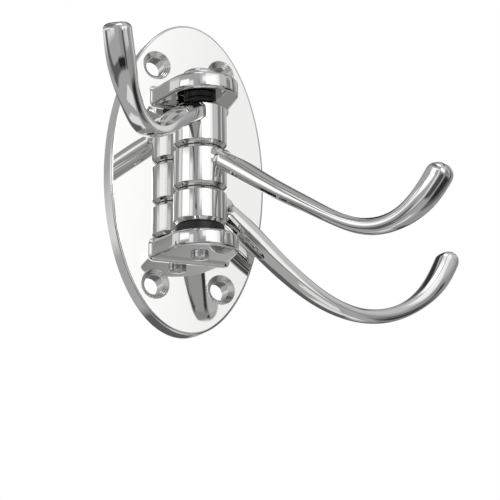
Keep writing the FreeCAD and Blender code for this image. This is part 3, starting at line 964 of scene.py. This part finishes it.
@dataclass
class Spacer:
    """A black ring between an end barrel and its lug."""

    name: str
    low: float
    high: float
    radius: float
    bore: float = 2.55
    bore_round: float = 0.1
    rim_round: float = 0.3
    round_steps: int = 5

    def build(self, material: Material) -> None:
        """Turns the ring and lets it stand for its CAD node.

        Args:
            material: The spacer's finish.
        """
        corners = ((self.bore, self.low, self.bore_round),
                   (self.radius, self.low, self.rim_round),
                   (self.radius, self.high, self.rim_round),
                   (self.bore, self.high, self.bore_round))
        profile = rounded_profile(corners, self.round_steps)
        mesh = turn_mesh(self.name + "_ring", profile, closed=True)
        piece = new_object(self.name + "_ring", mesh)
        finish_mesh(piece, material)
        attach(piece, "base")
        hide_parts(self.name)


@dataclass
class WallPlate:
    """The oval plate with its two lugs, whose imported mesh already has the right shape."""

    hole_across: float = 11.3
    hole_up: float = 36.5
    countersink_radius: float = 4.85
    lug_low: float = 22.8
    lug_high: float = 28.2
    lug_bulge: float = 0.18

    def hole_centres(self) -> tuple[tuple[float, float], ...]:
        """Places of the four fixing holes, in metres."""
        return tuple((x * self.hole_across * MM, z * self.hole_up * MM)
                     for x in (-1, 1) for z in (-1, 1))

    def finish(self) -> PolishedChrome:
        """The plate's chrome: flatter than the arms', with turned countersinks and bulged lugs."""
        return PolishedChrome("chrome_plate", roughness=0.02, wave_strength=0.024,
                              rings=self.hole_centres(), ring_radius=self.countersink_radius * MM,
                              ring_strength=0.5, crown=(self.lug_low * MM, self.lug_high * MM),
                              crown_deep=self.lug_bulge * MM)

    def dress(self) -> None:
        """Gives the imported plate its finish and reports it."""
        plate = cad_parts["wall_plate"]
        plate.data.materials.clear()
        plate.data.materials.append(self.finish().build())
        LOG.info("wall_plate: %d faces", len(plate.data.polygons))


@dataclass(frozen=True)
class SoftPanel:
    """One panel or card of the room, placed by its direction from the hook in degrees.

    The azimuth is 0 straight into the wall and 90 to the right; the edge is how wide its rim
    blurs, and the tone is 1 for white. A later panel hides the ones before it.
    """

    name: str
    azimuth: float
    elevation: float
    half_wide: float
    half_high: float
    edge: float
    tone: float

    def mask(self, writer: NodeWriter, turn: NodeSocket, rise: NodeSocket) -> NodeSocket:
        """Marks the directions in which the panel stands.

        Args:
            writer: The writer of the world's tree.
            turn: The direction's azimuth.
            rise: The direction's elevation.

        Returns:
            1 on the panel and 0 off it.
        """
        blur = self.edge / 2
        across = writer.maths("WRAP", writer.maths("SUBTRACT", turn, self.azimuth), 180.0, -180.0)
        above = writer.maths("SUBTRACT", rise, self.elevation)
        inside = [writer.spread(writer.maths("ABSOLUTE", offset), half - blur, half + blur,
                                1.0, 0.0)
                  for offset, half in ((across, self.half_wide), (above, self.half_high))]
        return writer.maths("MULTIPLY", *inside)


PANELS = (
    SoftPanel("right_room", 125, -15, 94, 34, 3, 0.33),
    SoftPanel("ceiling", 152, 64, 60, 53, 8, 0.6),
    SoftPanel("front_window", 171, 13, 23, 20, 5, 1.04),
    SoftPanel("window_core", 168, 11, 10, 16, 4, 1.2),
    SoftPanel("window_edge", -166, 20, 10, 5, 5, 1.1),
    SoftPanel("left_window", -119, -2, 7, 20, 3, 0.95),
    SoftPanel("upper_left_window", -135, 67, 19, 15, 3, 1.0),
    SoftPanel("left_wall_glow", -47, 13, 25, 11, 5, 0.8),
    SoftPanel("left_strip", -94, 16, 17, 5, 3, 1.25),
    SoftPanel("left_low_glow", -112, -14, 14, 9, 6, 0.75),
    SoftPanel("window_foot", 149, -9, 8, 6, 4, 0.7),
    SoftPanel("left_shade", -82, -22, 12, 25, 5, 0.12),
    SoftPanel("low_back_glow", 15, -46, 18, 14, 5, 0.85),
    SoftPanel("right_halo", 97, -32, 25, 21, 6, 0.14),
    SoftPanel("dark_card_right", 101, -32, 15, 13, 6, 0.03),
    SoftPanel("dark_card_back", 4, -19, 19, 21, 5, 0.12),
    SoftPanel("dark_card_above", -3, 46, 25, 18, 3, 0.04),
    SoftPanel("dark_card_left", -84, 53, 30, 15, 5, 0.18),
    SoftPanel("dark_card_front", -172, -36, 10, 19, 3, 0.08),
    SoftPanel("left_low_shade", -108, -51, 47, 7, 4, 0.12),
    SoftPanel("dark_card_low", -140, -48, 18, 6, 4, 0.02),
    SoftPanel("gap_right", 86, 8, 3, 26, 2, 0.06),
    SoftPanel("gap_front", 134, -6, 4, 10, 2, 0.05),
    SoftPanel("gap_left", -60, -12, 3, 24, 2, 0.06),
    SoftPanel("gap_back", 40, 0, 3, 30, 2, 0.06),
    SoftPanel("back_gap_above", 30, 37, 26, 6, 4, 0.12),
    SoftPanel("back_gap_below", 27, -12, 20, 7, 4, 0.12),
    SoftPanel("right_strip", 61, 21, 3, 6, 3, 0.75),
    SoftPanel("right_shade", 111, 11, 9, 14, 5, 0.24),
    SoftPanel("gap_top", 60, 50, 46, 3, 2, 0.06),
)


@dataclass(frozen=True)
class Softbox:
    """One soft rectangular lamp, placed and sized in metres, with its power in watts."""

    name: str
    place: tuple[float, float, float]
    size: tuple[float, float]
    power: float

    def build(self, target: Vector) -> None:
        """Adds the lamp and turns it to face a point.

        Args:
            target: The point.
        """
        data = bpy.data.lights.new(self.name, "AREA")
        data.shape = "RECTANGLE"
        data.size, data.size_y = self.size
        data.energy = self.power
        lamp = new_object(self.name, data)
        aim = target - Vector(self.place)
        lamp.rotation_euler = aim.to_track_quat("-Z", "Y").to_euler()
        lamp.location = self.place


LAMPS = (
    Softbox("front_softbox", place=(0.0, -1.6, 0.45), size=(0.6, 0.5), power=0.9),
    Softbox("upper_left_softbox", place=(-0.45, -0.45, 1.4), size=(0.5, 0.4), power=0.6),
)


@dataclass
class Studio:
    """Pale floor, room of soft panels, faint lamps, and the camera below and left of the hook.

    Its lengths are in metres, apart from the camera's lens and sensor, which are in millimetres.
    """

    camera_place: tuple[float, float, float] = (-0.19643, -0.48076, -0.15524)
    yaw: float = 0.43088
    pitch: float = 0.24941
    roll: float = -0.00707
    lens: float = 119.43
    sensor: float = 36.0
    nearest_seen: float = 0.01
    target: tuple[float, float, float] = (0.02, -0.04, -0.01)
    floor_height: float = -1.8
    floor_half: float = 0.4
    room: float = 0.42

    def camera(self) -> None:
        """Makes the camera and makes it the scene's own."""
        sin_yaw, cos_yaw = math.sin(self.yaw), math.cos(self.yaw)
        sin_pitch, cos_pitch = math.sin(self.pitch), math.cos(self.pitch)
        sin_roll, cos_roll = math.sin(self.roll), math.cos(self.roll)
        ahead = Vector((sin_yaw * cos_pitch, cos_yaw * cos_pitch, sin_pitch))
        right = Vector((cos_yaw, -sin_yaw, 0.0))
        up = Vector((-sin_yaw * sin_pitch, -cos_yaw * sin_pitch, cos_pitch))
        rolled = cos_roll * right + sin_roll * up
        upright = cos_roll * up - sin_roll * right
        data = bpy.data.cameras.new("camera")
        data.sensor_width = self.sensor
        data.lens = self.lens
        data.clip_start = self.nearest_seen
        camera = new_object("camera", data)
        turn = Matrix((rolled, upright, -ahead)).transposed()
        camera.matrix_world = Matrix.Translation(self.camera_place) @ turn.to_4x4()
        bpy.context.scene.camera = camera

    def floor(self) -> None:
        """Lays the pale floor below the hook."""
        mesh = bpy.data.meshes.new("floor")
        half = self.floor_half
        outline = ((-half, -half), (half, -half), (half, half), (-half, half))
        corners = [(x, y, self.floor_height) for x, y in outline]
        mesh.from_pydata(corners, [], [(0, 1, 2, 3)])
        mesh.materials.append(PalePaint("pale_floor").build())
        floor = new_object("floor", mesh)

    def room_tone(self, writer: NodeWriter) -> NodeSocket:
        """Works out how bright the room is in each direction, panel over panel.

        Args:
            writer: The writer of the world's tree.

        Returns:
            The brightness, 1 for white.
        """
        direction = writer.add("ShaderNodeTexCoord").outputs["Generated"]
        across, inward, up = writer.axes(direction)
        turn = writer.maths("DEGREES", writer.maths("ARCTAN2", across, inward))
        rise = writer.maths("DEGREES", writer.maths("ARCSINE", up))
        tone: NodeSocket | float = self.room
        for panel in PANELS:
            blend = writer.add("ShaderNodeMix", data_type="FLOAT", label=panel.name)
            writer.feed(blend, i0=panel.mask(writer, turn, rise), i2=tone, i3=panel.tone)
            tone = blend.outputs[0]
        return tone

    def surroundings(self) -> None:
        """Makes plain white surroundings, in which polished metal mirrors the room of panels."""
        world = bpy.data.worlds.new("surroundings")
        world.use_nodes = True
        writer = NodeWriter(world.node_tree)
        world.node_tree.nodes.clear()
        shade = self.room_tone(writer)
        grey = writer.add("ShaderNodeCombineColor")
        writer.feed(grey, Red=shade, Green=shade, Blue=shade)
        room = writer.add("ShaderNodeBackground")
        writer.feed(room, Color=grey.outputs[0], Strength=1.0)
        white = writer.add("ShaderNodeBackground")
        writer.feed(white, Color=(1.0, 1.0, 1.0, 1.0), Strength=1.0)
        mirrored = writer.add("ShaderNodeLightPath").outputs["Is Glossy Ray"]
        pick = writer.add("ShaderNodeMixShader")
        writer.feed(pick, i0=mirrored, i1=white.outputs[0], i2=room.outputs[0])
        writer.feed(writer.add("ShaderNodeOutputWorld"), Surface=pick.outputs[0])
        bpy.context.scene.world = world

    def build(self) -> None:
        """Builds the whole studio."""
        self.camera()
        self.floor()
        self.surroundings()
        for lamp in LAMPS:
            lamp.build(Vector(self.target))
        bpy.context.scene.view_settings.view_transform = "Standard"


ARMS = (
    HookArm("top_hook", "top_arm", floor=6.425, ceiling=20.6, swing=-38.3, length=93.8,
            root_high=3.8, tilt=(-22, -24, -26, -28, -26, -13, 9, 35, 57, 71),
            tip_end_round=2.5, tip_side_round=1.9),
    HookArm("middle_hook", "middle_arm", floor=-7.375, ceiling=6.175, swing=30.0, length=96.1,
            root_high=3.8, tilt=(-30, -34, -34, -31, -31, -30, -12, 18, 43, 59)),
    HookArm("lower_hook", "lower_arm", floor=-18.9, ceiling=-7.625, swing=94.0, length=109.8,
            root_high=2.4, tilt=(-31, -41, -38, -34, -23, -6, 15, 34, 53, 67)),
)
SPACERS = (
    Spacer("upper_spacer", low=20.75, high=22.75, radius=5.2),
    Spacer("lower_spacer", low=-22.75, high=-19.05, radius=7.8),
)


def main() -> None:
    """Builds the hook and its studio, and reports each piece."""
    logging.basicConfig(level=logging.INFO, format="%(name)s: %(message)s")
    WallPlate().dress()
    PivotPin().build(PolishedChrome("chrome_pin", roughness=0.04).build())
    nylon = BlackNylon("black_nylon").build()
    for spacer in SPACERS:
        spacer.build(nylon)
    sweeper = SweptRod()
    arm_finish = PolishedChrome("chrome_arm").build()
    for arm in ARMS:
        arm.build(sweeper, arm_finish)
    Studio().build()


if __name__ == "__main__":
    main()
